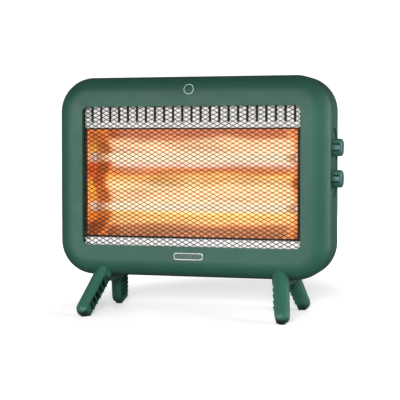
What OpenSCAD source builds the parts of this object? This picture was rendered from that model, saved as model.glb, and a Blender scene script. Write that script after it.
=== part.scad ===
// Radiant quartz tube heater in a retro casing on four splayed legs.
// Millimetres. +X to the knob side, -Y to the front, +Z up, floor at z = 0.

/* [Body] */
// Width of the casing
body_w = 400; // [320:1:520]
// Height of the casing
body_h = 287; // [230:1:360]
// Depth of the casing, front to back
body_d = 86; // [80:1:120]
// Height of the casing's underside over the floor
body_lift = 54; // [46:1:80]
// Radius of the casing's corners, seen from the front
corner_r = 50; // [44:1:70]
// Radius of the rounding around the front
nose_r = 24; // [16:1:26]
// Radius of the rounding around the back
back_r = 12; // [8:1:16]
// Wall of the casing
wall = 2.2; // [1.6:0.1:3]

/* [Window] */
// Width of the casing's front beside the opening
side_border = 39.5; // [30:0.1:60]
// Height of the casing's front over the opening
top_border = 42.8; // [36:0.1:60]
// Height of the casing's front under the opening
bottom_border = 44.6; // [40:0.1:60]
// Corner radius of the opening
window_r = 8; // [4:1:14]
// Depth of the rim that turns in at the opening
rim_depth = 6.5; // [4:0.1:9]

/* [Guard and face panel] */
// Width of one diamond of the guard
diamond_w = 36; // [24:1:60]
// Height of one diamond of the guard
diamond_h = 18.6; // [12:0.1:30]
// Share of a diamond that is strand
strand_share = 0.14; // [0.08:0.01:0.25]
// Number of upright slots in the face panel
slot_count = 23; // [9:2:35]
// Width of a slot
slot_w = 2.6; // [1:0.1:4]
// Distance from the opening's side to the nearest slot
slot_margin = 10.5; // [8:0.1:20]

/* [Heating chamber] */
// Height of the face panel that shows over the chamber
top_strip = 32.8; // [20:0.1:50]
// Height of the face panel that shows under the chamber
bottom_strip = 13.5; // [6:0.1:30]
// Width of the chamber's black frame that shows at each side
side_strip = 2.85; // [2:0.05:10]
// Outer radius of a quartz tube
tube_r = 6; // [4:0.5:8]
// Radius of a heating coil
coil_r = 3.4; // [2:0.1:4]
// Distance between the turns of a coil
coil_pitch = 4; // [3:0.5:8]

/* [Controls] */
// Distance between the knobs' axes
knob_spacing = 44; // [34:1:60]
// Radius of a knob
knob_r = 12.5; // [9:0.5:16]
// Distance the knobs stand out past the casing's side
knob_out = 12.5; // [6:0.5:16]
// Number of grooves around a knob
knob_grooves = 8; // [6:1:16]
// Radius of a control's shaft
shaft_r = 3; // [2:0.5:4]
// Radial play of a turning shaft in its bore
play = 0.05; // [0.02:0.01:0.1]

/* [Legs] */
// Distance of a leg's upper end from the casing's side
hip_inset = 68.8; // [60:0.1:90]
// Distance that a foot stands further out than its hip
foot_splay = 12.4; // [0:0.1:25]
// Distance of a front foot's centre in front of the casing's middle
front_foot = 82.1; // [60:0.1:110]
// Distance of a rear foot's centre behind the casing's middle
rear_foot = 68.3; // [50:0.1:100]
// Distance of the front hip in front of the casing's middle
front_hip = 34; // [20:1:40]
// Distance of the rear hip behind the casing's middle
rear_hip = 33; // [20:1:38]
// Radius of a leg at the foot
leg_r = 10.5; // [8:0.5:14]
// Radius of a leg at the hip
hip_r = 13; // [10:0.5:17]
// Depth of a leg's side walls, inwards from its axis
leg_depth = 9.5; // [7:0.5:11]
// Angle that a leg's channel is turned towards the front
channel_turn = 9; // [0:1:20]
// Number of ribs in a leg's channel
rib_count = 5; // [3:1:8]

/* [Hidden] */
$fn = 64;
eps = 0.01;

// The object's own frame has its origin on the floor, under the middle of its bounding box.
body_x = -knob_out / 2;
body_y = (front_foot - rear_foot) / 2;
mid_z = body_lift + body_h / 2;
window_w = body_w - 2 * side_border;
window_h = body_h - top_border - bottom_border;
window_z = mid_z + (bottom_border - top_border) / 2;
chamber_w = window_w - 2 * side_strip;
chamber_h = window_h - top_strip - bottom_strip;
chamber_z = window_z + (bottom_strip - top_strip) / 2;
tube_offset = chamber_h * 0.235;
slot_pitch = (window_w - 2 * slot_margin) / (slot_count - 1);

// Depths of the layers, from the casing's middle plane.
front_y = -body_d / 2;
rim_y = front_y + rim_depth;
mesh_t = 1;
panel_y = front_y + 15;
panel_t = 1;
chamber_y = panel_y + panel_t;
trough_r = tube_offset - 6;
trough_y = chamber_y + 15;
shield_y = trough_y + trough_r + 3;
sheet = 0.9;
seam_y = body_d / 2 - 13;
seam_gap = 0.8;
back_in = body_d / 2 - wall;
tube_y = trough_y + 2;
post_y = 10;
lead_y = body_d / 2 - 9;

// Positions that several parts share.
floor_z = body_lift + wall;
end_x = chamber_w / 2;
bracket_in = end_x + 12.35;
screw_x = body_w / 2 - 35;
panel_post_x = body_w / 2 - 70;
panel_post_z = window_h / 2 + 10;
knob_y = 2;
knob_z = mid_z + 20.2;
side_x = body_w / 2;
recess_floor = side_x - 2.2;
plate_x = side_x - 12;
plate_t = 1.2;
hip_x = body_w / 2 - hip_inset;
foot_x = hip_x + foot_splay;
hinge_x = hip_x - 61;
block_x = 41 - hip_x;
shield_x = end_x - 8;
hinge_y = 4;
hinge_z = floor_z + 35.8;
leg_screw_y = [-12, 14];
gland_x = 35 - body_w / 2;
gland_z = body_lift + 50;
foot_z = leg_r + 0.4;
lean = atan((foot_x - hip_x) / (body_lift - foot_z + 4));

green = [0.18, 0.34, 0.28];
black = [0.09, 0.08, 0.08];
bright = [0.86, 0.86, 0.84];
steel = [0.62, 0.63, 0.64];
ivory = [0.90, 0.88, 0.82];
brass = [0.78, 0.62, 0.30];
lead_red = [0.62, 0.16, 0.12];
lead_blue = [0.16, 0.26, 0.55];

module at_body() translate([body_x, body_y, 0]) children();

// ---- shapes that several parts share ----

// A quarter of a disc, in the positive quadrant.
module quarter(r) intersection() {
    circle(r);
    square(r);
}

module rounded_rect(w, h, r) {
    square([w - 2 * r, h], center = true);
    square([w, h - 2 * r], center = true);
    for (mx = [0, 1], my = [0, 1])
        mirror([mx, 0]) mirror([0, my]) translate([w / 2 - r, h / 2 - r]) quarter(r);
}

// Extrudes a shape drawn as seen from the front, from depth y backwards.
module layer(y, t) translate([0, y + t, 0]) rotate([90, 0, 0]) linear_extrude(t) children();

// Extrudes a shape drawn in depth and height, from x to the right.
module side_layer(x, t) translate([x, 0, 0]) rotate([90, 0, 90]) linear_extrude(t) children();

// A rod along the depth, and one along the width.
module rod_y(x, z, r, y0, y1) translate([x, y1, z]) rotate([90, 0, 0]) cylinder(h = y1 - y0, r = r);
module rod_x(y, z, r, x0, x1) translate([x0, y, z]) rotate([0, 90, 0]) cylinder(h = x1 - x0, r = r);

// Half of the casing's section, set in by g: outwards to the right, front downwards.
module casing_section(g) {
    front = nose_r - g;
    rear = back_r - g;
    translate([0, front_y + g]) square([corner_r - nose_r, front]);
    translate([corner_r - nose_r, front_y + nose_r]) mirror([0, 1]) quarter(front);
    translate([0, front_y + nose_r]) square([corner_r - g, body_d - nose_r - back_r]);
    translate([0, body_d / 2 - back_r]) square([corner_r - back_r, rear]);
    translate([corner_r - back_r, body_d / 2 - back_r]) quarter(rear);
}

// The whole casing as a solid, set in by g.
module casing(g) translate([0, 0, mid_z]) {
    wide = body_w - 2 * corner_r;
    tall = body_h - 2 * corner_r;
    for (mx = [0, 1], mz = [0, 1]) mirror([mx, 0, 0]) mirror([0, 0, mz])
        translate([wide / 2, 0, -tall / 2]) rotate([-90, 0, 0])
            rotate_extrude(angle = 90) casing_section(g);
    for (mx = [0, 1]) mirror([mx, 0, 0]) translate([wide / 2, 0, -tall / 2])
        linear_extrude(tall) casing_section(g);
    for (mz = [0, 1]) mirror([0, 0, mz]) translate([wide / 2, 0, tall / 2])
        rotate([0, -90, 0]) linear_extrude(wide) casing_section(g);
    translate([-wide / 2, front_y + g, -tall / 2]) cube([wide, body_d - 2 * g, tall]);
}

// A slab with the casing's outline, set in by g.
module outline_slab(g, y0, y1) translate([0, 0, mid_z]) layer(y0, y1 - y0)
    rounded_rect(body_w - 2 * g, body_h - 2 * g, corner_r - g);

module window_shape(grow) translate([0, window_z])
    rounded_rect(window_w + 2 * grow, window_h + 2 * grow, window_r + grow);

module at_shell_posts() for (x = [-screw_x, 0, screw_x], z = [body_lift + 18, body_lift + body_h - 16])
    translate([x, 0, z]) children();

module at_panel_posts() for (x = [-panel_post_x, panel_post_x], s = [-1, 1])
    translate([x, 0, window_z + s * panel_post_z]) children();

module at_control_posts() for (y = [-17, 17], z = [-36, 36])
    translate([0, knob_y + y, knob_z + z]) children();

module at_leg_screws() for (x = [-hip_x, hip_x], y = leg_screw_y) translate([x, y, 0]) children();

module at_tip_screws() for (y = [-13, 13]) translate([hinge_x - 14.5, hinge_y + y, 0]) children();

module at_terminal_screws() for (x = [-14, 14]) translate([block_x + x, 9, 0]) children();

// A lead along the given square-cornered route, with a slightly thicker ball at each bend.
module lead(points, r = 1.4) for (i = [0 : len(points) - 2]) {
    a = points[i];
    d = points[i + 1] - a;
    translate(a) rotate([0, acos(d[2] / norm(d)), atan2(d[1], d[0])]) cylinder(h = norm(d), r = r);
    if (i > 0) translate(a) sphere(r * 1.1);
}

// ---- casing ----

module front_shell() color(green) at_body() difference() {
    union() {
        difference() {
            casing(0);
            casing(wall);
            translate([-body_w, seam_y, 0]) cube([2 * body_w, body_d, 2 * body_h]);
        }
        layer(front_y + wall / 2, rim_depth - wall / 2) window_shape(wall);
        intersection() {
            casing(wall / 3);
            union() {
                at_shell_posts() rod_y(0, 0, 5, front_y, post_y);
                at_panel_posts() rod_y(0, 0, 3.8, front_y, panel_y);
                at_leg_screws() translate([0, 0, body_lift]) cylinder(h = 12, r = 4.5);
                translate([side_x - 5, -28, knob_z - 54]) cube([5, seam_y + 28, 108]);
            }
        }
        at_control_posts() rod_x(0, 0, 3.6, plate_x + plate_t, side_x - 4);
    }
    layer(front_y - 1, rim_depth + 2) window_shape(0);
    at_shell_posts() rod_y(0, 0, 2.05, post_y - 18, post_y + 1);
    at_panel_posts() rod_y(0, 0, 1.55, panel_y - 10, panel_y + 1);
    at_leg_screws() translate([0, 0, body_lift - 1]) cylinder(h = 11, r = 1.85);
    at_tip_screws() translate([0, 0, floor_z - 1.4]) cylinder(h = 3, r = 1.55);
    at_terminal_screws() translate([0, 0, floor_z - 1.4]) cylinder(h = 3, r = 1.55);
    at_control_posts() rod_x(0, 0, 1.55, plate_x, plate_x + 7);
    translate([0, knob_y, knob_z]) side_layer(recess_floor, 5) rounded_rect(52, 98, 25);
    for (s = [-1, 1]) rod_x(knob_y, knob_z + s * knob_spacing / 2, shaft_r + 0.8, plate_x + 3, side_x);
}

module rear_shell() color(green) at_body() difference() {
    union() {
        difference() {
            casing(0);
            casing(wall);
            translate([-body_w, seam_y + seam_gap - body_d, 0]) cube([2 * body_w, body_d, 2 * body_h]);
        }
        difference() {
            union() {
                outline_slab(wall / 2, seam_y + seam_gap, seam_y + seam_gap + 2);
                outline_slab(wall + 0.3, seam_y - 6, seam_y + seam_gap + eps);
            }
            outline_slab(wall + 1.8, seam_y - 7, seam_y + 4);
            translate([side_x - 10, seam_y - 8, knob_z - 56]) cube([20, 8.3, 112]);
        }
        at_shell_posts() rod_y(0, 0, 6.5, post_y, back_in + 1);
    }
    at_shell_posts() rod_y(0, 0, 2.3, post_y - 1, body_d / 2 + 1);
    at_shell_posts() rod_y(0, 0, 4.6, body_d / 2 - 3, body_d / 2 + 1);
    for (x = [-1, 0, 1] * body_w / 4, row = [0 : 7])
        translate([x - 35, back_in - 1, window_z + 38 + row * 9]) cube([70, wall + 2, 4]);
    for (x = [-1, 0, 1] * body_w / 4, row = [0 : 3])
        translate([x - 35, back_in - 1, body_lift + 48 + row * 9]) cube([70, wall + 2, 4]);
    rod_y(gland_x, gland_z, 7.1, back_in - 1, body_d / 2 + 1);
}

module shell_screws() color(steel) at_body() at_shell_posts() {
    rod_y(0, 0, 2, post_y - 16, body_d / 2 - 3);
    difference() {
        rod_y(0, 0, 4.2, body_d / 2 - 3, body_d / 2 - 0.6);
        for (a = [0, 90]) translate([0, body_d / 2 - 0.6, 0]) rotate([0, a, 0]) cube([5, 2.4, 0.9], center = true);
    }
}

module badge_plate() color(bright) at_body() translate([0, 0, body_lift + nose_r + 7])
    layer(front_y - 1.2, 1.2) rounded_rect(44, 11, 4);

// ---- guard and face panel ----

guard_i = ceil(window_w / diamond_w / 2);
guard_j = ceil(window_h / diamond_h / 2);
module guard_mesh() color(black) at_body() translate([0, 0, window_z]) layer(rim_y, mesh_t) difference() {
    square([window_w + 7, window_h + 8], center = true);
    intersection() {
        square([window_w + 1, window_h + 1], center = true);
        union() for (i = [-guard_i : guard_i], j = [-guard_j : guard_j], k = [0, 0.5])
            translate([(i + k) * diamond_w, (j + k) * diamond_h]) polygon([
                for (a = [0, 1, 2, 3]) [cos(a * 90) * diamond_w / 2, sin(a * 90) * diamond_h / 2]
                    * (1 - strand_share)
            ]);
    }
}

module guard_frame() color(black) at_body() translate([0, 0, chamber_z])
    layer(rim_y + mesh_t, panel_y - rim_y - mesh_t) difference() {
        square([chamber_w + 4, chamber_h + 4], center = true);
        square([chamber_w, chamber_h], center = true);
    }

module face_panel() color(bright) at_body() difference() {
    layer(panel_y, panel_t) difference() {
        translate([0, window_z]) rounded_rect(window_w + 23, window_h + 32, 6);
        translate([0, chamber_z]) square([chamber_w, chamber_h], center = true);
        for (i = [0 : slot_count - 1])
            translate([(i - (slot_count - 1) / 2) * slot_pitch - slot_w / 2, window_z + window_h / 2 - 22])
                square([slot_w, 21]);
    }
    at_panel_posts() rod_y(0, 0, 1.9, panel_y - 1, chamber_y + 1);
}

module panel_screws() color(steel) at_body() at_panel_posts() {
    rod_y(0, 0, 1.5, panel_y - 9, chamber_y);
    rod_y(0, 0, 3.4, chamber_y, chamber_y + 2);
}

// ---- heating chamber ----

// Points of the reflector's surface from top to bottom, moved back by t. Depth first, then height.
function trough_arc(s, t) = [
    for (a = [75 : -12.5 : -75])
        [trough_y + (trough_r + t) * cos(a), s * tube_offset + (trough_r + t) * sin(a)]
];
function reflector_line(t) = concat(
    [[chamber_y, chamber_h / 2 + t]],
    trough_arc(1, t),
    [[trough_y + 5 + 1.5 * t, 0]],
    trough_arc(-1, t),
    [[chamber_y, -chamber_h / 2 - t]]
);
function reversed(v) = [for (i = [len(v) - 1 : -1 : 0]) v[i]];

module reflector() color(bright) at_body() translate([0, 0, chamber_z]) {
    side_layer(-end_x, chamber_w) polygon(concat(reflector_line(0), reversed(reflector_line(sheet))));
    for (m = [0, 1]) mirror([0, 0, m])
        translate([-end_x, chamber_y, chamber_h / 2]) cube([chamber_w, sheet, 7.35]);
}

module reflector_end() side_layer(end_x, sheet) difference() {
    polygon([
        [chamber_y, chamber_h / 2 + 7], [chamber_y, -chamber_h / 2 - 7],
        [chamber_y + 12, -chamber_h / 2 - 7], [shield_y - 2, -tube_offset - 16], [shield_y - 2, tube_offset + 16],
        [chamber_y + 12, chamber_h / 2 + 7]
    ]);
    for (s = [-1, 1]) translate([tube_y, s * tube_offset]) circle(7.9);
}
module reflector_end_right() color(bright) at_body() translate([0, 0, chamber_z]) reflector_end();
module reflector_end_left() color(bright) at_body() translate([0, 0, chamber_z]) mirror([1, 0, 0]) reflector_end();

module heat_shield() color(steel) at_body() translate([0, 0, chamber_z]) {
    h = chamber_h + 14.7 + 2 * sheet;
    rise = window_z + window_h / 2 + 6 - chamber_z - h / 2;
    difference() {
        translate([-shield_x, chamber_y, -h / 2]) cube([2 * shield_x, shield_y + sheet - chamber_y, h]);
        translate([-shield_x - 1, chamber_y - 1, -h / 2 + sheet])
            cube([2 * shield_x + 2, shield_y - chamber_y + 1, h - 2 * sheet]);
        for (i = [-4 : 4])
            translate([i * shield_x / 5 - 10, chamber_y + 14, -h / 2 - 1]) cube([20, 4, h + 2]);
        for (x = [-1, 1] * shield_x / 1.5, z = [-1, 0, 1] * chamber_h * 0.3)
            translate([x - 30, shield_y - 1, z - 2]) cube([60, 3, 4]);
    }
    // An upright edge behind the face panel's slots keeps the rear vents out of sight.
    translate([-shield_x, shield_y, h / 2 - sheet]) cube([2 * shield_x, sheet, sheet + rise]);
}

// A C-shaped sheet that holds both tube ends against the chamber's end plate.
module tube_bracket() difference() {
    translate([end_x + sheet, tube_y - 7, -tube_offset - 14])
        cube([bracket_in + 1 - end_x - sheet, 14, 2 * tube_offset + 28]);
    translate([end_x, tube_y - 8, -tube_offset - 13])
        cube([bracket_in - end_x, 16, 2 * tube_offset + 26]);
    for (s = [-1, 1]) rod_x(tube_y, s * tube_offset, 1.7, bracket_in - 1, bracket_in + 2);
}
module tube_bracket_right() color(steel) at_body() translate([0, 0, chamber_z]) tube_bracket();
module tube_bracket_left() color(steel) at_body() translate([0, 0, chamber_z]) mirror([1, 0, 0]) tube_bracket();

// A ceramic cap on a tube's end: it stands through the end plate and rests on it with a collar.
module ceramic_cap(side, s) translate([0, 0, chamber_z + s * tube_offset]) mirror([side < 0 ? 1 : 0, 0, 0])
    translate([end_x, tube_y, 0]) rotate([0, 90, 0]) rotate_extrude() polygon([
        [tube_r + 0.05, -9], [7.8, -9], [7.8, sheet], [10, sheet], [10, sheet + 3.5], [8.2, sheet + 3.5],
        [8.2, bracket_in - end_x], [1.7, bracket_in - end_x], [1.7, 9.4], [tube_r + 0.05, 9.4]
    ]);
module cap_upper_left() color(ivory) at_body() ceramic_cap(-1, 1);
module cap_upper_right() color(ivory) at_body() ceramic_cap(1, 1);
module cap_lower_left() color(ivory) at_body() ceramic_cap(-1, -1);
module cap_lower_right() color(ivory) at_body() ceramic_cap(1, -1);

module quartz_tube(s) translate([0, 0, chamber_z + s * tube_offset]) difference() {
    rod_x(tube_y, 0, tube_r, -end_x - 9.3, end_x + 9.3);
    rod_x(tube_y, 0, tube_r - 1.2, -end_x - 10, end_x + 10);
}
module quartz_tube_upper() color([0.95, 0.9, 0.8]) at_body() quartz_tube(1);
module quartz_tube_lower() color([0.95, 0.9, 0.8]) at_body() quartz_tube(-1);

// A coil as one revolved ripple on a core, with a pin at each end that leaves through the caps.
module heating_coil(s) translate([0, tube_y, chamber_z + s * tube_offset]) rotate([0, 90, 0])
    rotate_extrude() {
        turns = floor((chamber_w - 50) / coil_pitch);
        half = turns * coil_pitch / 2;
        polygon(concat(
            [[0, -half]],
            [for (i = [0 : 2 * turns]) [coil_r - (i % 2 == 0 ? 1.2 : 0), -half + i * coil_pitch / 2]],
            [[0, half]]
        ));
        translate([0, -bracket_in - 3.4]) square([1.6, 2 * bracket_in + 6.8]);
    }
module heating_coil_upper() color([0.98, 0.62, 0.25]) at_body() heating_coil(1);
module heating_coil_lower() color([0.98, 0.62, 0.25]) at_body() heating_coil(-1);

// ---- controls ----

module at_knob(s) translate([0, knob_y, knob_z + s * knob_spacing / 2]) rotate([0, 90, 0]) children();

module control_bracket() color(steel) at_body() difference() {
    translate([0, knob_y, knob_z]) side_layer(plate_x, plate_t) rounded_rect(44, 84, 4);
    for (s = [-1, 1]) at_knob(s) translate([0, 0, plate_x - 1]) cylinder(h = 4, r = 4.6);
    at_control_posts() rod_x(0, 0, 1.8, plate_x - 1, plate_x + 3);
}

module control_screws() color(steel) at_body() at_control_posts() {
    rod_x(0, 0, 3, plate_x - 2, plate_x);
    rod_x(0, 0, 1.5, plate_x, plate_x + 6);
}

// The body of a rotary control behind the bracket, with its bushing and rear blades.
module rotary_control(s, w, blades) at_knob(s) difference() {
    union() {
        translate([-w / 2, -12, plate_x - 12.5]) cube([w, 24, 12.5]);
        translate([0, 0, plate_x]) cylinder(h = 6, r = 4.5);
        for (i = [0 : blades - 1])
            translate([(i - (blades - 1) / 2) * 6 - 2, 11, plate_x - 8]) cube([4, 9, 0.8]);
    }
    translate([0, 0, plate_x - 9]) cylinder(h = 20, r = shaft_r + play);
}
module power_selector() color(black) at_body() rotary_control(1, 26, 4);
module thermostat() color(ivory) at_body() rotary_control(-1, 24, 2);

module shaft_nut(s) at_knob(s) translate([0, 0, plate_x + plate_t]) difference() {
    cylinder(h = 2.4, r = 6.6, $fn = 6);
    translate([0, 0, -1]) cylinder(h = 5, r = 4.55);
}
module selector_nut() color(brass) at_body() shaft_nut(1);
module thermostat_nut() color(brass) at_body() shaft_nut(-1);

// A barrel-shaped knob with a foot ring, grooves, a raised pointer and its shaft.
module knob(s) at_knob(s) {
    base = recess_floor + 0.5;
    top = side_x + knob_out;
    difference() {
        rotate_extrude() polygon([
            [0, base], [knob_r + 1, base], [knob_r + 1, base + 0.9], [knob_r - 0.6, base + 1.6],
            [knob_r, base + 4.5], [knob_r - 0.2, top - 3], [knob_r - 0.9, top - 1.2],
            [knob_r - 2.4, top - 0.2], [knob_r - 3.4, top - 0.6], [0, top - 0.6]
        ]);
        for (i = [0 : knob_grooves - 1]) rotate([0, 0, (i + 0.5) * 360 / knob_grooves])
            translate([knob_r - 2.3, -1.2, base + 1.2]) cube([4, 2.4, top - base - 4.2]);
    }
    translate([-knob_r + 3.6, -0.8, top - 1]) cube([knob_r - 4, 1.6, 1]);
    translate([0, 0, plate_x - 7]) cylinder(h = base - plate_x + 7 + eps, r = shaft_r);
}
module knob_selector() color(green) at_body() knob(1);
module knob_thermostat() color(green) at_body() knob(-1);

// ---- safety parts ----

module tip_switch_housing() color(ivory) at_body() translate([hinge_x, hinge_y, 0]) difference() {
    union() {
        translate([-18, -19, floor_z]) cube([31, 38, 2]);
        for (x = [-11, 11]) translate([x - 1, -8, floor_z + 1]) cube([2, 16, hinge_z - floor_z + 5]);
        for (m = [0, 1]) mirror([0, m, 0]) translate([-11, -19, floor_z + 1]) cube([22, 1.5, 23]);
    }
    rod_x(0, hinge_z, 1.5 + play, -20, 20);
    for (y = [-13, 13]) translate([-14.5, y, floor_z - 1]) cylinder(h = 5, r = 1.8);
}

module tip_switch_screws() color(steel) at_body() at_tip_screws() {
    translate([0, 0, floor_z - 1.2]) cylinder(h = 3.2, r = 1.5);
    translate([0, 0, floor_z + 2]) cylinder(h = 1.8, r = 3);
}

module tip_pendulum() color(steel) at_body() translate([hinge_x, hinge_y, hinge_z]) {
    rod_x(0, 0, 1.5, -11.8, 11.8);
    for (x = [-9.5, 8.5]) rod_x(0, 0, 3, x, x + 1);
    translate([-1.5, -1.5, -16]) cube([3, 3, 16]);
    rod_x(0, -20, 8, -8, 8);
}

module tip_microswitch() color(black) at_body() translate([hinge_x + 12, hinge_y - 8, floor_z + 6]) {
    cube([10, 16, 20]);
    for (z = [4, 14]) translate([3, 15, z]) cube([4, 8, 0.8]);
}

module thermal_cutout() color(black) at_body() translate([40, shield_y + sheet, chamber_z + chamber_h * 0.4]) {
    rotate([-90, 0, 0]) cylinder(h = 5, r = 8);
    for (x = [-5, 2.5]) translate([x, 4, -1]) cube([2.5, 6, 0.8]);
}

module terminal_block() color(ivory) at_body() difference() {
    union() {
        translate([block_x - 9, 0, floor_z]) cube([18, 18, 15]);
        translate([block_x - 18, 3, floor_z]) cube([36, 12, 3]);
    }
    at_terminal_screws() translate([0, 0, floor_z - 1]) cylinder(h = 6, r = 1.8);
    for (x = [-4, 4]) translate([block_x + x, 9, floor_z + 9]) cylinder(h = 7, r = 1.55);
}

module terminal_screws() color(steel) at_body() at_terminal_screws() {
    translate([0, 0, floor_z - 1.2]) cylinder(h = 4.2, r = 1.5);
    translate([0, 0, floor_z + 3]) cylinder(h = 1.8, r = 3);
}

// ---- leads ----

// From the terminal block along the back to the microswitch.
module lead_supply() color(lead_red) at_body() lead([
    [block_x + 4, 9, floor_z + 9], [block_x + 4, 9, floor_z + 34], [block_x + 4, lead_y, floor_z + 34],
    [hinge_x + 17, lead_y, floor_z + 34], [hinge_x + 17, lead_y, floor_z + 22.3],
    [hinge_x + 17, hinge_y + 10, floor_z + 22.3]
]);

// From the microswitch to the thermostat.
module lead_control() color(lead_red) at_body() {
    x = plate_x - 5.7;
    y = lead_y - 6;
    z = knob_z - knob_spacing / 2 - 3;
    lead([
        [hinge_x + 17, hinge_y + 10, floor_z + 12.3], [hinge_x + 17, y, floor_z + 12.3],
        [hinge_x + 31, y, floor_z + 12.3], [hinge_x + 31, y, floor_z + 42],
        [x, y, floor_z + 42], [x, y, z], [x, knob_y + 15, z]
    ]);
}

// From a coil's right-hand pin to the selector: y is the depth of the upright run, z the height of the blade.
module selector_lead(s, y, z) {
    x = plate_x - 9.5;
    pin_z = chamber_z + s * tube_offset;
    blade_z = knob_z + knob_spacing / 2 + z;
    lead([
        [bracket_in + 3.5, tube_y, pin_z], [x, tube_y, pin_z], [x, y, pin_z],
        [x, y, blade_z], [x, knob_y + 15, blade_z]
    ]);
}
module lead_tube_upper() color(lead_blue) at_body() selector_lead(1, lead_y - 6, -9);
module lead_tube_lower() color(lead_blue) at_body() selector_lead(-1, lead_y, 3);

// From the terminal block to both left-hand pins.
module lead_return() color(lead_blue) at_body() {
    x = -bracket_in - 8;
    lead([
        [block_x - 4, 9, floor_z + 9], [block_x - 4, 9, floor_z + 42], [x, 9, floor_z + 42],
        [x, tube_y, floor_z + 42], [x, tube_y, chamber_z + tube_offset],
        [-bracket_in - 3.5, tube_y, chamber_z + tube_offset]
    ]);
    lead([[x, tube_y, chamber_z - tube_offset], [-bracket_in - 3.5, tube_y, chamber_z - tube_offset]]);
}

module cord_grommet() color(black) at_body() translate([gland_x, 0, gland_z]) difference() {
    union() {
        rod_y(0, 0, 9.5, back_in - 1.8, back_in);
        rod_y(0, 0, 7, back_in - 1, body_d / 2 + 1);
        rod_y(0, 0, 9.5, body_d / 2, body_d / 2 + 2);
    }
    rod_y(0, 0, 3.6, back_in - 3, body_d / 2 + 3);
}

// ---- legs ----

// A leg's own frame: its origin is at the foot's centre and z runs along the leg. Right-hand side.
module leg_frame(foot_y, hip_y) {
    rise = (body_lift - foot_z + 4) / cos(lean);
    translate([foot_x, foot_y, foot_z]) rotate([0, -lean, 0])
        rotate([-atan((hip_y - foot_y) / rise), 0, 0]) rotate([0, 0, channel_turn]) children();
}
function leg_length(foot_y, hip_y) = norm([foot_x - hip_x, foot_y - hip_y, body_lift - foot_z + 4]);

// A leg set in by g: round outside, with a ball end, and straight side walls inwards from its axis
// by depth. It runs past the hip by 24.
module leg_form(length, g, depth) {
    half = leg_r - g - 0.3;
    rotate_extrude() {
        mirror([0, 1]) quarter(leg_r - g);
        polygon([[0, 0], [leg_r - g, 0], [hip_r - g, length + 24], [0, length + 24]]);
    }
    rotate([90, 0, -90]) linear_extrude(height = depth) {
        for (m = [0, 1]) mirror([m, 0]) mirror([0, 1]) quarter(half);
        translate([-half, 0]) square([2 * half, length]);
    }
}

module leg_channel(length) intersection() {
    leg_form(length, 2.4, 20);
    translate([-20, -20, 5]) cube([40, 40, length - 17]);
}

module leg_ribs(length) for (i = [0 : rib_count - 1]) intersection() {
    leg_form(length, 0.3, leg_depth + 1.3);
    translate([-leg_depth - 1.3, -20, 9 + i * (length - 26) / (rib_count - 1)]) cube([30, 40, 1.8]);
}

// What is cut from a leg's inner side: all beyond its side walls, and what would spoil their round end.
module leg_trim(length) {
    translate([-leg_depth - 20, -20, -12]) cube([20, 40, length + 4]);
    difference() {
        translate([-20, -20, -20]) cube([20, 40, 20]);
        rotate([90, 0, 0]) cylinder(h = 50, r = leg_r - 0.15, center = true);
    }
}

// Two legs on one saddle, for the right-hand side.
module leg_bracket() {
    feet = [[-front_foot, -front_hip], [rear_foot, rear_hip]];
    difference() {
        union() {
            difference() {
                union() {
                    for (f = feet) leg_frame(f[0], f[1]) leg_form(leg_length(f[0], f[1]), 0, leg_depth);
                    translate([hip_x - 10, -30, body_lift - 8.5]) cube([20, 60, 9]);
                }
                for (f = feet) leg_frame(f[0], f[1]) {
                    leg_channel(leg_length(f[0], f[1]));
                    leg_trim(leg_length(f[0], f[1]));
                }
            }
            for (f = feet) leg_frame(f[0], f[1]) leg_ribs(leg_length(f[0], f[1]));
        }
        casing(-0.1);
        // Nothing but the pads comes down to the floor.
        translate([hip_x - 60, -150, -20]) cube([120, 300, 20.6]);
        for (f = feet) translate([foot_x, f[0], -1]) cylinder(h = 6, r = 4.6);
        for (y = leg_screw_y) translate([hip_x, y, 0]) {
            cylinder(h = body_lift - 4.5, r = 3.9);
            cylinder(h = body_lift, r = 2.1);
        }
    }
}
module right_leg_bracket() color(green) at_body() leg_bracket();
module left_leg_bracket() color(green) at_body() mirror([1, 0, 0]) leg_bracket();

module leg_screws() color(steel) at_body() at_leg_screws() {
    translate([0, 0, body_lift - 7]) cylinder(h = 2.5, r = 3.6);
    translate([0, 0, body_lift - 4.5]) cylinder(h = 13, r = 1.8);
}

module foot_pad(side, y) translate([side * foot_x, y, 0]) cylinder(h = 5, r = 4.5);
module foot_front_left() color(black) at_body() foot_pad(-1, -front_foot);
module foot_front_right() color(black) at_body() foot_pad(1, -front_foot);
module foot_rear_left() color(black) at_body() foot_pad(-1, rear_foot);
module foot_rear_right() color(black) at_body() foot_pad(1, rear_foot);

front_shell();
rear_shell();
guard_mesh();
guard_frame();
face_panel();
panel_screws();
reflector();
reflector_end_left();
reflector_end_right();
heat_shield();
tube_bracket_left();
tube_bracket_right();
cap_upper_left();
cap_upper_right();
cap_lower_left();
cap_lower_right();
quartz_tube_upper();
quartz_tube_lower();
heating_coil_upper();
heating_coil_lower();
control_bracket();
control_screws();
power_selector();
thermostat();
selector_nut();
thermostat_nut();
knob_selector();
knob_thermostat();
tip_switch_housing();
tip_switch_screws();
tip_pendulum();
tip_microswitch();
thermal_cutout();
terminal_block();
terminal_screws();
lead_supply();
lead_control();
lead_tube_upper();
lead_tube_lower();
lead_return();
cord_grommet();
left_leg_bracket();
right_leg_bracket();
leg_screws();
foot_front_left();
foot_front_right();
foot_rear_left();
foot_rear_right();
shell_screws();
badge_plate();
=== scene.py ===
"""Looks of the radiant quartz tube heater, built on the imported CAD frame. Metres; -Y is the front."""
import math

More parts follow.
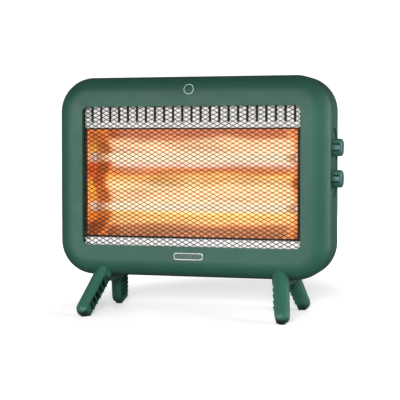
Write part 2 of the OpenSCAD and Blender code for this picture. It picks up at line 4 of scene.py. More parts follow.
import bpy
import numpy as np
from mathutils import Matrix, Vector


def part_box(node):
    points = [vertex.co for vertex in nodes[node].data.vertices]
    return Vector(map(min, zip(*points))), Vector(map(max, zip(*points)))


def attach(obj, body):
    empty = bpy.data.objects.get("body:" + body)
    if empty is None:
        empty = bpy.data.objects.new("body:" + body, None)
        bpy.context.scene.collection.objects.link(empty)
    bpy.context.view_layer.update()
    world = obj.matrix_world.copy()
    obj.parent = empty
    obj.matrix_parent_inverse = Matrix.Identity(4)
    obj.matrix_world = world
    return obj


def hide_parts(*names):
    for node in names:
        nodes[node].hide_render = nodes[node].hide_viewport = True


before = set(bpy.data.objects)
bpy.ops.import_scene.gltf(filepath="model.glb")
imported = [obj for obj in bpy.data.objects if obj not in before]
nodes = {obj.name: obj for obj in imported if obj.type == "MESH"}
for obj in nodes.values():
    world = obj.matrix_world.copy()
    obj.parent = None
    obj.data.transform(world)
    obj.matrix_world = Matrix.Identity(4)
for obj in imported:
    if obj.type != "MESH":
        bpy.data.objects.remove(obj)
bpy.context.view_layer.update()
MM = 0.001
ROOT = "heater"
scene = bpy.context.scene
scene.view_settings.view_transform = "Standard"
scene.view_settings.look = "None"


# ---------------------------------------------------------------- places read from the frame
def middle(name):
    lo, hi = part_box(name)
    return [(a + b) / 2 for a, b in zip(lo, hi)]


SHELL_LO, SHELL_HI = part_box("front_shell")
BODY_X = (SHELL_LO[0] + SHELL_HI[0]) / 2
FRONT_Y = SHELL_LO[1]
BODY_Y = (FRONT_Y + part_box("rear_shell")[1][1]) / 2
BODY_Z = (SHELL_LO[2] + SHELL_HI[2]) / 2
TUBES = {k: middle("quartz_tube_" + k) for k in ("upper", "lower")}
CHAMBER_LO, CHAMBER_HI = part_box("guard_frame")

# ---------------------------------------------------------------- sizes repeated from the CAD
NOSE = 24 * MM  # radius of the rounding around the casing's front
SLOT_COUNT = 23  # upright slots in the face panel
SLOT_PITCH = 300 * MM / (SLOT_COUNT - 1)
SLOT_FOOT = 276.2 * MM  # height of the slots' lower ends over the floor
KNOB_R = 12.5 * MM  # radius of a knob's grip

# ---------------------------------------------------------------- sizes of the pieces made here
DIAMOND_W, DIAMOND_H = 11.4 * MM, 6.25 * MM
STRAND_W = 1.0 * MM
BOND_W, BOND_HALF = 1.5 * STRAND_W, 0.35 * MM  # width, and half the length, of the metal where strands meet
BOND_LAP = 0.8 * BOND_HALF  # a strand starts this far out from the middle of its bond
BOND_SHARE, STRAND_SHARE = 0.8, 0.9  # depth of a bond in the CAD guard's, and of a strand in a bond's
RIM_W, HEM_W = 1.6 * MM, 2.2 * MM  # plain strips round the guard, and up each side of the chamber
HEM_X = 156.5 * MM  # distance of each hem from the guard's middle
COIL_HALF, COIL_PITCH, COIL_R = 130 * MM, 3.0 * MM, 2.9 * MM
COIL_STEPS = 14  # points in a turn
WIRE_R, TAIL_R, PIN_R = 0.45 * MM, 0.9 * MM, 1.6 * MM
TAIL_OFF, TAIL_BEND = 0.6 * COIL_R, 4 * MM  # a tail starts beside the coil's axis and joins it after its bend
PIN_X = 158 * MM  # distance of the pins' inner ends from the tube's middle
RING_DOWN, RING_OUT, RING_IN = 19 * MM, 7.2 * MM, 6.5 * MM  # under the casing's top, and its two radii
RING_STEPS = 64  # stretches in the ring
INK_BACK, INK_FRONT = 0.02 * MM, 0.10 * MM  # how far the print stands off the casing
BORDER_R, BORDER_CORNER, BORDER_INSET, BORDER_SINK = 0.75 * MM, 3.2 * MM, 1.1 * MM, 0.12 * MM
CORNER_STEPS = 8  # stretches in a corner of the border

# ---------------------------------------------------------------- material helpers
NOISE_LO, NOISE_HI = 0.3, 0.7  # a noise mostly lies between these


class Mat:
    """A material under construction: a principled shader and short calls for its nodes."""

    def __init__(self, name, color, rough=0.5, metal=0.0, spec=0.5):
        self.m = bpy.data.materials.new(name)
        self.m.use_nodes = True
        self.t = self.m.node_tree
        self.b = self.t.nodes["Principled BSDF"]
        self.put("Base Color", (*color, 1))
        self.put("Roughness", rough)
        self.put("Metallic", metal)
        self.put("Specular IOR Level", spec)
        self.place = self.add("ShaderNodeTexCoord")

    def add(self, kind, **values):
        n = self.t.nodes.new(kind)
        for k, v in values.items():
            setattr(n, k, v)
        return n

    def link(self, a, b):
        self.t.links.new(a, b)

    def put(self, socket, value):
        s = self.b.inputs[socket]
        if isinstance(value, bpy.types.NodeSocket):
            self.link(value, s)
        else:
            s.default_value = value

    def noise(self, scale, stretch=(1, 1, 1), detail=3.0):
        mapping = self.add("ShaderNodeMapping")
        mapping.inputs["Scale"].default_value = stretch
        self.link(self.place.outputs["Object"], mapping.inputs["Vector"])
        n = self.add("ShaderNodeTexNoise")
        n.inputs["Scale"].default_value = scale
        n.inputs["Detail"].default_value = detail
        self.link(mapping.outputs["Vector"], n.inputs["Vector"])
        return n.outputs["Fac"]

    def ramp(self, fac, stops):
        r = self.add("ShaderNodeValToRGB")
        e = r.color_ramp.elements
        e[0].position, e[0].color = stops[0][0], (*stops[0][1], 1)
        e[1].position, e[1].color = stops[-1][0], (*stops[-1][1], 1)
        for p, c in stops[1:-1]:
            e.new(p).color = (*c, 1)
        self.link(fac, r.inputs["Fac"])
        return r.outputs["Color"]

    def mottle(self, noise, dark, light):
        """Two colours that change over with a noise."""
        return self.ramp(noise, [(NOISE_LO, dark), (NOISE_HI, light)])

    def tones(self, noise, color, low, high):
        """One colour, made darker and lighter with a noise."""
        return self.mottle(noise, tint(color, low), tint(color, high))

    def remap(self, value, a, b, c, d):
        n = self.add("ShaderNodeMapRange")
        for k, v in zip(("From Min", "From Max", "To Min", "To Max"), (a, b, c, d)):
            n.inputs[k].default_value = v
        self.link(value, n.inputs["Value"])
        return n.outputs["Result"]

    def spread(self, noise, lo, hi):
        """A noise as a number that runs from lo to hi."""
        return self.remap(noise, NOISE_LO, NOISE_HI, lo, hi)

    def math(self, op, a, b=0.0):
        n = self.add("ShaderNodeMath", operation=op)
        for s, v in zip(n.inputs, (a, b)):
            if isinstance(v, bpy.types.NodeSocket):
                self.link(v, s)
            else:
                s.default_value = v
        return n.outputs["Value"]

    def hypot(self, a, b):
        squares = [self.math("POWER", v, 2.0) for v in (a, b)]
        return self.math("POWER", self.math("ADD", *squares), 0.5)

    def mix(self, fac, a, b):
        """Color a where the factor is 0, and b where it is 1."""
        n = self.add("ShaderNodeMix", data_type="RGBA")
        self.link(fac, n.inputs["Factor"])
        self.link(a, n.inputs[6])
        self.link(b, n.inputs[7])
        return n.outputs[2]

    def axis(self, i, of="Object"):
        n = self.add("ShaderNodeSeparateXYZ")
        self.link(self.place.outputs[of], n.inputs["Vector"])
        return n.outputs[i]

    def bump(self, height, strength, distance):
        n = self.add("ShaderNodeBump")
        n.inputs["Strength"].default_value = strength
        n.inputs["Distance"].default_value = distance
        self.link(height, n.inputs["Height"])
        last = self.b.inputs["Normal"]
        if last.is_linked:
            self.link(last.links[0].from_socket, n.inputs["Normal"])
        self.link(n.outputs["Normal"], last)


def tint(color, k):
    return tuple(min(1.0, c * k) for c in color)


def moulded_skin(m, rough):
    """The surface of satin moulded plastic: uneven gloss, a fine grain and a slow wave."""
    m.put("Roughness", m.spread(m.noise(60, detail=4), rough - 0.05, rough + 0.06))
    m.bump(m.noise(700, detail=2), 0.16, 0.12 * MM)
    m.bump(m.noise(25, detail=1), 0.05, 0.8 * MM)


def moulded(name, color, rough):
    """Satin moulded plastic with a slow drift of colour."""
    m = Mat(name, color, rough)
    m.put("Base Color", m.tones(m.noise(9, detail=2), color, 0.93, 1.07))
    moulded_skin(m, rough)
    return m.m


def sheet_metal(name, color, rough, metal, speckle):
    """Plated metal: fine speckles and patchy gloss."""
    m = Mat(name, color, rough, metal)
    fine = m.noise(420)
    m.put("Base Color", m.tones(fine, color, 1 - speckle, 1 + speckle))
    m.put("Roughness", m.spread(m.noise(35, detail=4), rough - 0.06, rough + 0.08))
    m.bump(fine, 0.10, 0.08 * MM)
    return m.m


def matt(name, color, rough, grain=500, strength=0.3):
    """Rubber, sleeves and print: a soft uneven skin."""
    m = Mat(name, color, rough)
    m.put("Base Color", m.tones(m.noise(40), color, 0.85, 1.15))
    m.put("Roughness", m.spread(m.noise(80), rough - 0.08, rough + 0.08))
    m.bump(m.noise(grain), strength, 0.15 * MM)
    return m.m


# ---------------------------------------------------------------- mesh helpers
OFF_AXES = [0.31, 0.17, 0.94]  # a direction that no tube here starts along


def new_object(name, verts, faces, material, smooth=False, rides=ROOT, slot=None):
    me = bpy.data.meshes.new(name)
    me.from_pydata([tuple(v) for v in verts], [], [tuple(f) for f in faces])
    me.validate()
    me.polygons.foreach_set("use_smooth", [smooth] * len(me.polygons))
    me.materials.append(material)
    o = bpy.data.objects.new(name, me)
    scene.collection.objects.link(o)
    if rides:
        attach(o, rides)
    return o


def tube(points, radius, sides, closed=False):
    """(vertices, faces) of a round tube along the points, with flat ends."""
    p = np.array(points, float)
    n = len(p)
    if closed:
        tangent = np.roll(p, -1, 0) - np.roll(p, 1, 0)
    else:
        tangent = np.gradient(p, axis=0)
    tangent /= np.linalg.norm(tangent, axis=1)[:, None]
    side = np.cross(tangent[0], OFF_AXES)
    side /= np.linalg.norm(side)
    verts = []
    for i in range(n):
        side = side - tangent[i] * (side @ tangent[i])
        side /= np.linalg.norm(side)
        up = np.cross(tangent[i], side)
        for k in range(sides):
            a = 2 * math.pi * k / sides
            verts.append(p[i] + radius * (math.cos(a) * side + math.sin(a) * up))
    faces = []
    for i in range(n if closed else n - 1):
        j = (i + 1) % n
        for k in range(sides):
            q = (k + 1) % sides
            faces.append((i * sides + k, i * sides + q, j * sides + q, j * sides + k))
    if not closed:
        faces.append(tuple(reversed(range(sides))))
        faces.append(tuple((n - 1) * sides + k for k in range(sides)))
    return verts, faces


def joined(*parts):
    verts, faces = [], []
    for v, f in parts:
        faces += [tuple(i + len(verts) for i in face) for face in f]
        verts += list(v)
    return verts, faces


def paint(names, material):
    for n in names:
        for s in nodes[n].material_slots:
            s.material = material


# ---------------------------------------------------------------- plain materials
GREEN = (0.0145, 0.059, 0.041)
KNOB_GREEN = (0.030, 0.084, 0.074)
# Painted shade: the heat shield is made near black to stand for the shade seen through the face panel's
# slots.
shield_shade_mat = sheet_metal("shield_painted_shade", (0.014, 0.012, 0.011), 0.6, 0.3, 0.2)
steel_mat = sheet_metal("galvanised", (0.60, 0.61, 0.62), 0.42, 1.0, 0.12)
screw_mat = sheet_metal("zinc_screw", (0.62, 0.63, 0.64), 0.30, 1.0, 0.05)
chrome_mat = sheet_metal("chromed_border", (0.80, 0.81, 0.81), 0.22, 0.8, 0.04)
brass_mat = sheet_metal("brass_nut", (0.78, 0.58, 0.26), 0.30, 1.0, 0.06)
badge_mat = moulded("badge_enamel", tint(GREEN, 0.8), 0.30)
black_mat = moulded("switch_black", (0.018, 0.018, 0.019), 0.45)
ivory_mat = moulded("ivory_moulding", (0.74, 0.68, 0.54), 0.5)
rubber_mat = matt("rubber_black", (0.020, 0.021, 0.020), 0.75)
red_mat = matt("sleeve_red", (0.42, 0.05, 0.035), 0.55, 900, 0.15)
blue_mat = matt("sleeve_blue", (0.05, 0.10, 0.34), 0.55, 900, 0.15)
print_mat = matt("print_grey", (0.30, 0.36, 0.33), 0.6, 800, 0.1)


# ---------------------------------------------------------------- casing, legs and knobs
def casing_material():
    """Satin plastic as on the legs, with shade painted in a deeper green along the top of the casing."""
    rough = 0.52
    m = Mat("casing_green", GREEN, rough)
    drift = m.noise(9, detail=2)
    even = m.tones(drift, GREEN, 0.93, 1.07)
    # Painted shade: a darker tone of the green, blended in along the top of the casing.
    painted_shade = m.tones(drift, GREEN, 0.56, 0.68)
    top = m.remap(m.axis(2), SHELL_HI[2] - 56 * MM, SHELL_HI[2] - 16 * MM, 0.0, 1.0)
    m.put("Base Color", m.mix(top, even, painted_shade))
    moulded_skin(m, rough)
    return m.m


def leg_material():
    """Satin plastic with shade painted in the depth of the ribbed channels, where an ambient occlusion node
    finds them.
    """
    rough = 0.46
    m = Mat("leg_green", GREEN, rough)
    unshaded = m.tones(m.noise(14, detail=2), GREEN, 1.12, 1.30)
    painted_shade = m.tones(m.noise(120), GREEN, 0.16, 0.34)
    # Painted shade: the colour turns dark where the ambient occlusion node finds a hollow.
    hollow = m.add("ShaderNodeAmbientOcclusion", samples=8)
    hollow.inputs["Distance"].default_value = 14 * MM
    m.put("Base Color", m.mix(m.remap(hollow.outputs["AO"], 0.45, 0.85, 0.0, 1.0), painted_shade, unshaded))
    moulded_skin(m, rough)
    return m.m


def knob_material(node):
    """Knob plastic, a little bluer than the casing, with shade painted down in the grip's grooves."""
    lo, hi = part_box(node)
    m = Mat(node + "_green", KNOB_GREEN, 0.36)
    off_shaft = [m.math("SUBTRACT", m.axis(i), (lo[i] + hi[i]) / 2) for i in (1, 2)]
    # Painted shade: a dark tone down in the grip's grooves, found by distance from the shaft.
    painted_shade = m.remap(m.hypot(*off_shaft), KNOB_R - 0.9 * MM, KNOB_R - 0.4 * MM, 1.0, 0.0)
    barrel = m.remap(m.axis(0), hi[0] - 2.6 * MM, hi[0] - 2.0 * MM, 1.0, 0.0)
    unshaded = m.tones(m.noise(60, detail=2), KNOB_GREEN, 0.92, 1.08)
    groove_shade = m.tones(m.noise(90), KNOB_GREEN, 0.15, 0.3)
    m.put("Base Color", m.mix(m.math("MULTIPLY", painted_shade, barrel), unshaded, groove_shade))
    m.put("Roughness", m.spread(m.noise(60, detail=4), 0.30, 0.42))
    m.bump(m.noise(700, detail=2), 0.12, 0.1 * MM)
    return m.m


# ---------------------------------------------------------------- the heating chamber
GLOW_X = BODY_X + 3 * MM  # middle of the glow, from side to side
FRINGE = (130 * MM, 142 * MM)  # the painted glow on the troughs turns to flame red over this distance from the middle
COLD = (138 * MM, 147 * MM)  # and to the colours of the cold ends over this one
# Painted light: linear colours of the tubes' glow on the reflector, by height in the chamber, from its floor
# at 0 to its top at 1.
TROUGH_GLOW = [
    # dark red along the floor
    (0.00, (0.27, 0.060, 0.021)), (0.06, (0.19, 0.043, 0.013)), (0.10, (0.37, 0.10, 0.035)),
    # yellow and cream along the lower tube
    (0.14, (0.90, 0.43, 0.15)), (0.20, (1.00, 0.54, 0.16)), (0.27, (1.00, 0.63, 0.38)),
    (0.38, (1.00, 0.56, 0.31)), (0.48, (1.00, 0.58, 0.28)),
    # a red line where the two troughs meet
    (0.545, (0.80, 0.34, 0.08)), (0.585, (0.52, 0.13, 0.022)), (0.62, (0.70, 0.25, 0.11)),
    # cream along the upper tube
    (0.66, (1.00, 0.56, 0.44)), (0.75, (1.00, 0.60, 0.39)), (0.87, (1.00, 0.54, 0.30)),
    # dark red along the top
    (0.905, (0.45, 0.13, 0.048)), (0.935, (0.29, 0.052, 0.012)), (1.00, (0.36, 0.077, 0.018)),
]
# Painted light on the troughs' cold ends, by height.
COLD_END_GLOW = [
    (0.00, (0.16, 0.04, 0.012)), (0.11, (0.24, 0.06, 0.018)), (0.17, (0.62, 0.17, 0.03)),
    (0.30, (0.60, 0.18, 0.05)), (0.45, (0.56, 0.13, 0.025)), (0.58, (0.34, 0.06, 0.012)),
    (0.66, (0.44, 0.10, 0.03)), (0.74, (0.70, 0.26, 0.09)), (0.85, (0.56, 0.15, 0.04)),
    (1.00, (0.60, 0.14, 0.025)),
]
# Painted light on the end plates, by height.
END_PLATE_GLOW = [
    (0.00, (0.14, 0.03, 0.01)), (0.12, (0.22, 0.05, 0.01)), (0.16, (1.0, 0.24, 0.02)),
    (0.24, (0.90, 0.22, 0.02)), (0.36, (1.0, 0.33, 0.04)), (0.48, (1.0, 0.47, 0.05)),
    (0.54, (0.74, 0.16, 0.02)), (0.60, (0.66, 0.07, 0.01)), (0.66, (0.80, 0.12, 0.02)),
    (0.72, (1.0, 0.36, 0.09)), (0.80, (1.0, 0.45, 0.06)), (0.90, (0.72, 0.18, 0.04)),
    (1.00, (0.88, 0.22, 0.03)),
]
GUARD_GLOW = [
    (0.0, (0.01, 0.002, 0.0)), (0.2, (0.022, 0.003, 0.001)), (0.5, (0.026, 0.004, 0.001)),
    (0.8, (0.022, 0.003, 0.001)), (1.0, (0.01, 0.002, 0.0)),
]


def dimmed(stops):
    """The colours of the chamber's ends, taken down for the strength that the troughs are given."""
    return [(p, (r / 1.5, g / 1.6, b / 1.6)) for p, (r, g, b) in stops]


def chamber_height(m, wave=0.0):
    """Height in the heating chamber, 0 at its floor and 1 at its top, with long wavy streaks."""
    h = m.remap(m.axis(2), CHAMBER_LO[2], CHAMBER_HI[2], 0.0, 1.0)
    if wave:
        streak = m.math("SUBTRACT", m.noise(26, (0.3, 1, 1), detail=2), 0.5)
        h = m.math("ADD", h, m.math("MULTIPLY", streak, wave))
    return h


def off_middle(m):
    return m.math("ABSOLUTE", m.math("SUBTRACT", m.axis(0), GLOW_X))


def panel_material():
    """Aluminised sheet, rolled along its length, with painted shade over the chamber and a painted dark shade
    round its slots.
    """
    m = Mat("panel_aluminised", (0.6, 0.59, 0.58), 0.40, 0.15)
    streaks = m.noise(420, (0.05, 1, 1))
    bright = m.mottle(streaks, (0.80, 0.785, 0.77), (0.90, 0.885, 0.87))
    # Painted shade: the sheet turns darker up the chamber and stays darker on the strip above it.
    shaded_sheet = m.mottle(streaks, (0.62, 0.61, 0.59), (0.72, 0.71, 0.69))
    sheet = m.mix(chamber_height(m), bright, shaded_sheet)
    steps = m.math("DIVIDE", m.math("SUBTRACT", m.axis(0), BODY_X), SLOT_PITCH)
    aside = m.math("ABSOLUTE", m.math("SUBTRACT", steps, m.math("ROUND", steps)))
    edge = m.remap(aside, 1.75 * MM / SLOT_PITCH, 2.0 * MM / SLOT_PITCH, 1.0, 0.0)
    above = m.remap(m.axis(2), SLOT_FOOT - 0.6 * MM, SLOT_FOOT - 0.4 * MM, 0.0, 1.0)
    # Painted shade: a near-black band over and round each slot, so the slots read wider and darker.
    slot_shade = m.mottle(m.noise(300), (0.010, 0.009, 0.008), (0.022, 0.020, 0.018))
    m.put("Base Color", m.mix(m.math("MULTIPLY", edge, above), sheet, slot_shade))
    m.put("Roughness", m.spread(m.noise(35, detail=4), 0.34, 0.48))
    m.bump(streaks, 0.10, 0.08 * MM)
    return m.m


def guard_material():
    """Black enamel with some orange peel. In front of the chamber the dull red-brown light of the tubes is
    painted on it as emission.
    """
    m = Mat("guard_enamel", (0.012, 0.009, 0.008), 0.5, spec=0.08)
    skin = [(0.35, (0.007, 0.006, 0.005)), (0.7, (0.020, 0.014, 0.011))]
    m.put("Base Color", m.ramp(m.noise(120, detail=4), skin))
    m.put("Roughness", m.spread(m.noise(200, detail=2), 0.42, 0.6))
    m.bump(m.noise(900, detail=2), 0.25, 0.1 * MM)
    h = chamber_height(m)
    cold = m.remap(off_middle(m), 120 * MM, 155 * MM, 1.0, 0.25)
    inside = m.math("MULTIPLY", m.remap(h, -0.01, 0.02, 0.0, 1.0), m.remap(h, 0.98, 1.01, 1.0, 0.0))
    # Painted light: the chamber's red-brown light on the guard, as emission.
    m.put("Emission Color", m.ramp(h, GUARD_GLOW))
    m.put("Emission Strength", m.math("MULTIPLY", inside, cold))
    return m.m


def trough_glow(m):
    """Painted reflected light of the tubes: cream along the tubes, then a ragged flame-red fringe, then the
    cold ends.
    """
    warm = m.ramp(chamber_height(m, 0.15), TROUGH_GLOW)
    cool = m.ramp(chamber_height(m, 0.12), dimmed(COLD_END_GLOW))
    ragged = m.math("MULTIPLY", m.math("SUBTRACT", m.noise(60, detail=2), 0.5), 8 * MM)
    out = m.math("ADD", off_middle(m), ragged)
    fringe = m.remap(out, *FRINGE, 0.0, 1.0)
    flame = m.ramp(fringe, [(0.0, (1.0, 0.46, 0.18)), (1.0, (0.80, 0.17, 0.02))])
    glow = m.mix(m.math("MULTIPLY", fringe, 0.8), warm, flame)
    return m.mix(m.remap(out, *COLD, 0.0, 1.0), glow, cool)


def reflector_material(name, end):
    """Polished sheet with rolling lines, with the light of the tubes painted on its front as emission. An end
    plate has it painted all over.
    """
    m = Mat(name, (0.20, 0.17, 0.15), 0.28, 1.0)
    lines = m.noise(600, (0.02, 1, 1), detail=2)
    m.put("Base Color", m.mottle(lines, (0.15, 0.12, 0.10), (0.24, 0.20, 0.17)))
    m.put("Roughness", m.spread(m.noise(50, (0.2, 1, 1)), 0.2, 0.36))
    m.bump(lines, 0.15, 0.1 * MM)
    # Painted light: the glow of the tubes on the metal, as emission.
    m.put("Emission Color", m.ramp(chamber_height(m, 0.08), dimmed(END_PLATE_GLOW)) if end else trough_glow(m))
    patches = m.spread(m.noise(22, (0.45, 1, 1), detail=2), 1.2, 1.75)
    streaks = m.remap(m.noise(110, (0.10, 1, 1)), 0.32, 0.68, 0.80, 1.22)
    lit = 1.0 if end else m.remap(m.axis(1, "Normal"), 0.02, 0.08, 1.0, 0.0)
    m.put("Emission Strength", m.math("MULTIPLY", m.math("MULTIPLY", patches, streaks), lit))
    return m.m


def ceramic_material():
    """Glazed ceramic, with the warm light of the tubes painted on it as emission."""
    m = Mat("ceramic_glazed", (0.40, 0.32, 0.26), 0.22)
    m.put("Base Color", m.mottle(m.noise(70), (0.30, 0.23, 0.18), (0.46, 0.38, 0.31)))
    # Painted light: the tubes' orange light on the caps, as emission.
    m.put("Emission Color", m.mottle(m.noise(40, detail=1), (1.0, 0.42, 0.22), (1.0, 0.60, 0.42)))
    m.put("Emission Strength", 0.35)
    m.bump(m.noise(300, detail=2), 0.2, 0.2 * MM)
    return m.m


def quartz_material():
    """Milky quartz, dull at the cold ends and so bright over the coil that the coil barely shows."""
    m = Mat("quartz_milky", (0.22, 0.17, 0.12), 0.10)
    cold = m.remap(off_middle(m), 128 * MM, 146 * MM, 0.0, 1.0)
    waves = m.noise(45, detail=2)
    glow = [(0.0, (1.0, 0.74, 0.50)), (0.5, (1.0, 0.50, 0.20)), (1.0, (0.9, 0.36, 0.20))]
    m.put("Emission Color", m.ramp(cold, glow))
    strength = m.remap(cold, 0.0, 1.0, 1.15, 0.5)
    m.put("Emission Strength", m.math("MULTIPLY", strength, m.spread(waves, 0.94, 1.06)))
    m.put("Alpha", 0.7)
    m.bump(waves, 0.1, 0.3 * MM)
    return m.m


def coil_material():
    """Resistance wire that glows between its cold ends."""
    m = Mat("coil_wire", (0.30, 0.20, 0.14), 0.5, 0.6)
    cold = m.remap(off_middle(m), 126 * MM, 134 * MM, 0.0, 1.0)
    m.put("Emission Color", m.ramp(cold, [(0.0, (1.0, 0.72, 0.40)), (1.0, (0.25, 0.04, 0.01))]))
    m.put("Emission Strength", m.remap(cold, 0.0, 1.0, 0.8, 0.1))
    return m.m


guard_mat = guard_material()
coil_mat = coil_material()

paint(["front_shell", "rear_shell"], casing_material())
paint(["left_leg_bracket", "right_leg_bracket"], leg_material())
for knob in ("knob_selector", "knob_thermostat"):
    paint([knob], knob_material(knob))
paint(["guard_frame"], guard_mat)
paint(["face_panel"], panel_material())
paint(["reflector"], reflector_material("reflector_polished", False))
paint(["reflector_end_left", "reflector_end_right"], reflector_material("reflector_end_polished", True))
paint(["heat_shield"], shield_shade_mat)
paint(["tube_bracket_left", "tube_bracket_right", "control_bracket", "tip_pendulum"], steel_mat)
paint([n for n in nodes if n.startswith("cap_")], ceramic_material())
paint(["quartz_tube_upper", "quartz_tube_lower"], quartz_material())
paint(["power_selector", "tip_microswitch", "thermal_cutout"], black_mat)
paint(["thermostat", "tip_switch_housing", "terminal_block"], ivory_mat)
paint(["selector_nut", "thermostat_nut"], brass_mat)
paint([n for n in nodes if n.endswith("_screws")], screw_mat)
paint(["lead_supply", "lead_control"], red_mat)
paint(["lead_tube_upper", "lead_tube_lower", "lead_return"], blue_mat)
paint([n for n in nodes if n.startswith("foot_")] + ["cord_grommet"], rubber_mat)
paint(["badge_plate"], badge_mat)


# ---------------------------------------------------------------- guard of expanded metal
def prism(a, b, width, depth):
    """A straight strand from a to b in the guard's plane."""
    a, b = Vector(a), Vector(b)
    along = (b - a).normalized()
    across = Vector((-along.z, 0, along.x)) * width / 2
    back = Vector((0, depth / 2, 0))
    v = [p + s * across + t * back for p in (a, b) for s, t in ((-1, -1), (1, -1), (1, 1), (-1, 1))]
    f = [(0, 1, 2, 3), (7, 6, 5, 4), (0, 4, 5, 1), (1, 5, 6, 2), (2, 6, 7, 3), (3, 7, 4, 0)]
    return v, f


def expanded_metal():
    """Diamonds of flat strands, inside a rim, with a plain hem up each side of the chamber."""
    lo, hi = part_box("guard_mesh")
    cx, cy, cz = middle("guard_mesh")
    depth = (hi[1] - lo[1]) * BOND_SHARE
    ni = int((hi[0] - lo[0]) / DIAMOND_W)
    nj = int((hi[2] - lo[2]) / DIAMOND_H)
    parts = []
    for i in range(-ni, ni + 1):
        for j in range(-nj, nj + 1):
            if (i + j) % 2:
                continue
            x, z = cx + i * DIAMOND_W / 2, cz + j * DIAMOND_H / 2
            parts.append(prism((x - BOND_HALF, cy, z), (x + BOND_HALF, cy, z), BOND_W, depth))
            if i < ni:
                for s in (-1, 1):
                    if abs(j + s) <= nj:
                        a = (x + BOND_LAP, cy, z)
                        b = (x + DIAMOND_W / 2 - BOND_LAP, cy, z + s * DIAMOND_H / 2)
                        parts.append(prism(a, b, STRAND_W, depth * STRAND_SHARE))
    x0, x1 = cx - ni * DIAMOND_W / 2, cx + ni * DIAMOND_W / 2
    z0, z1 = cz - nj * DIAMOND_H / 2, cz + nj * DIAMOND_H / 2
    for a, b in (((x0, z0), (x1, z0)), ((x0, z1), (x1, z1)), ((x0, z0), (x0, z1)), ((x1, z0), (x1, z1))):
        parts.append(prism((a[0], cy, a[1]), (b[0], cy, b[1]), RIM_W, depth))
    for x in (cx - HEM_X, cx + HEM_X):
        parts.append(prism((x, cy, CHAMBER_LO[2]), (x, cy, CHAMBER_HI[2]), HEM_W, depth))
    o = new_object("guard_expanded_metal", *joined(*parts), guard_mat, slot="guard")
    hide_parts("guard_mesh")


expanded_metal()


# ---------------------------------------------------------------- wound coils
def coil(which):
    """The winding, and at each end a straight tail and a thicker pin."""
    cx, cy, cz = TUBES[which]
    helix = []
    for k in range(int(2 * COIL_HALF / COIL_PITCH) * COIL_STEPS + 1):
        a = 2 * math.pi * k / COIL_STEPS
        x = cx - COIL_HALF + COIL_PITCH * k / COIL_STEPS
        helix.append((x, cy + COIL_R * math.cos(a), cz + COIL_R * math.sin(a)))
    lo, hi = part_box("heating_coil_" + which)
    parts = [tube(helix, WIRE_R, 6)]
    for end, side in ((lo[0], -1), (hi[0], 1)):
        inner = cx + side * COIL_HALF
        pin = (cx + side * PIN_X, cy, cz)
        tail = [(inner, cy + TAIL_OFF, cz), (inner + side * TAIL_BEND, cy, cz), pin]
        parts.append(tube(tail, TAIL_R, 8))
        parts.append(tube([pin, (end, cy, cz)], PIN_R, 12))
    o = new_object("coil_wound_" + which, *joined(*parts), coil_mat, smooth=True, slot="coil")
    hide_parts("heating_coil_" + which)


for which in TUBES:
    coil(which)


# ---------------------------------------------------------------- printed ring and badge border
def front_surface(z):
    """Depth of the casing's front at height z, over or under the flat part."""
    over = max(0.0, abs(z - BODY_Z) - ((SHELL_HI[2] - SHELL_LO[2]) / 2 - NOSE))
    return FRONT_Y + NOSE - math.sqrt(NOSE**2 - over**2)


def printed_ring():
    """A flat ring that follows the casing's rounded front."""
    cz = SHELL_HI[2] - RING_DOWN
    section = ((RING_IN, INK_BACK), (RING_IN, INK_FRONT), (RING_OUT, INK_FRONT), (RING_OUT, INK_BACK))
    verts, faces = [], []
    for k in range(RING_STEPS):
        a = 2 * math.pi * k / RING_STEPS
        for r, lift in section:
            x, z = BODY_X + r * math.cos(a), cz + r * math.sin(a)
            verts.append((x, front_surface(z) - lift, z))
    for k in range(RING_STEPS):
        j = (k + 1) % RING_STEPS
        for q in range(4):
            p = (q + 1) % 4
            faces.append((k * 4 + q, k * 4 + p, j * 4 + p, j * 4 + q))
    new_object("printed_ring", verts, faces, print_mat, slot="badge")


def badge_border():
    """A bright round bead along the edge of the plate."""
    lo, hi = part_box("badge_plate")
    reach = BORDER_INSET + BORDER_CORNER
    left, right = lo[0] + reach, hi[0] - reach
    bottom, top = lo[2] + reach, hi[2] - reach
    path = []
    for cx, cz, start in ((right, top, 0), (left, top, 90), (left, bottom, 180), (right, bottom, 270)):
        for k in range(CORNER_STEPS + 1):
            a = math.radians(start + k * 90 / CORNER_STEPS)
            x, z = cx + BORDER_CORNER * math.cos(a), cz + BORDER_CORNER * math.sin(a)
            path.append((x, lo[1] + BORDER_SINK, z))
    bead = tube(path, BORDER_R, 10, closed=True)
    new_object("badge_border", *bead, chrome_mat, smooth=True, slot="badge")


printed_ring()
badge_border()

# ---------------------------------------------------------------- camera
AZIMUTH, ELEVATION = math.radians(15.79), math.radians(1.58)
CAMERA_DISTANCE = 1.768
target = Vector((BODY_X, BODY_Y, BODY_Z - 0.25 * MM))
level = math.cos(ELEVATION)
forward = Vector((-math.sin(AZIMUTH) * level, math.cos(AZIMUTH) * level, -math.sin(ELEVATION)))
cam = bpy.data.objects.new("camera", bpy.data.cameras.new("camera"))
scene.collection.objects.link(cam)
cam.location = target - forward * CAMERA_DISTANCE
cam.rotation_euler = forward.to_track_quat("-Z", "Y").to_euler()
cam.data.sensor_width = 36
cam.data.lens = 109.89
cam.data.shift_x = 0.008
cam.data.shift_y = -0.0585
scene.camera = cam

# ---------------------------------------------------------------- floor and backdrop
STUDIO_R, STUDIO_SIDES = 7.0, 48
DOME_HEIGHT = 1.2 * STUDIO_R
DOME_RINGS = ((1.0, -0.02), (0.95, 0.4), (0.75, 0.75), (0.4, 0.95))  # shares of radius and height


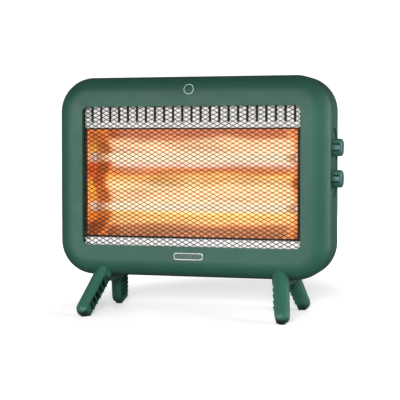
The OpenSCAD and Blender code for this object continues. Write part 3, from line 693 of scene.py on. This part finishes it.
def white(name, glow):
    """Pale matt sweep: it glows by the given amount under the heater, and fully further out."""
    m = Mat(name, (0.92, 0.92, 0.92), 0.9, spec=0.0)
    m.put("Base Color", m.mottle(m.noise(3), (0.91, 0.91, 0.91), (0.93, 0.93, 0.93)))
    away = m.hypot(m.math("MULTIPLY", m.axis(0), 2.0), m.axis(1))
    m.put("Emission Color", (1, 1, 1, 1))
    m.put("Emission Strength", m.remap(away, 0.42, 0.8, glow, 1.0))
    return m.m


def backdrop(name, verts, faces, glow_name, glow):
    o = new_object(name, verts, faces, white(glow_name, glow), rides=None)
    o.visible_glossy = False
    o.visible_diffuse = False
    return o


def studio():
    """A round floor and a dome over it."""
    n = STUDIO_SIDES
    angles = [2 * math.pi * k / n for k in range(n)]
    rim = [(STUDIO_R * math.cos(a), STUDIO_R * math.sin(a)) for a in angles]
    verts = [(x * c, y * c, DOME_HEIGHT * h) for c, h in DOME_RINGS for x, y in rim]
    faces = []
    for ring in range(len(DOME_RINGS) - 1):
        for k in range(n):
            a, b = ring * n + k, ring * n + (k + 1) % n
            faces.append((a, b, b + n, a + n))
    faces.append(range(len(verts) - n, len(verts)))
    floor = backdrop("floor", [(x, y, 0) for x, y in rim], [range(n)], "floor_pale", 0.27)
    dome = backdrop("backdrop", verts, faces, "backdrop_white", 1.0)
    dome.visible_shadow = False
    return floor, dome


STAGE = studio()

# ---------------------------------------------------------------- light
LAMP_AIM = Vector((0, 0, 0.2))
world = bpy.data.worlds.new("studio")
scene.world = world
world.use_nodes = True
world.node_tree.nodes["Background"].inputs["Color"].default_value = (1, 1, 1, 1)
world.node_tree.nodes["Background"].inputs["Strength"].default_value = 0.10


def softbox(name, azimuth, height, distance, size, power, shiny=True):
    """A rectangular lamp. Azimuth 0 is in front of the heater, and 90 is at its knob side."""
    data = bpy.data.lights.new(name, "AREA")
    data.shape = "RECTANGLE"
    data.size, data.size_y = size
    data.energy = power
    o = bpy.data.objects.new(name, data)
    scene.collection.objects.link(o)
    a = math.radians(azimuth)
    o.location = (distance * math.sin(a), -distance * math.cos(a), height)
    o.rotation_euler = (LAMP_AIM - o.location).to_track_quat("-Z", "Y").to_euler()
    o.visible_glossy = shiny
    return o


def spare_stage(lamp):
    """Keep a lamp that fills the back or a side from washing out the shadow on the floor."""
    group = bpy.data.collections.new(lamp.name + "_leaves_out")
    for o in STAGE:
        group.objects.link(o)
    lamp.light_linking.receiver_collection = group
    for item in group.collection_objects:
        item.light_linking.link_state = "EXCLUDE"


# Name, azimuth, height, distance, width and height of the lamp, and its power
softbox("haze", -17, 0.26, 1.7, (1.3, 0.7), 15)
softbox("key", 12, 0.55, 2.0, (0.6, 0.4), 60, shiny=False)
softbox("side_fill", 75, 0.6, 2.0, (0.8, 0.8), 22, shiny=False)
softbox("rim_right", 116, 0.35, 1.6, (0.7, 1.0), 8)
spare_stage(softbox("back_fill", 200, 1.0, 2.2, (1.2, 1.2), 75, shiny=False))
spare_stage(softbox("right_fill", 98, 0.5, 2.0, (0.8, 0.8), 16, shiny=False))
spare_stage(softbox("left_fill", -112, 0.7, 2.0, (0.8, 0.8), 30, shiny=False))
softbox("floor_fill", 195, 1.3, 2.2, (1.2, 1.2), 20, shiny=False)
softbox("top_fill", 0, 2.4, 0.4, (1.0, 1.0), 3, shiny=False)
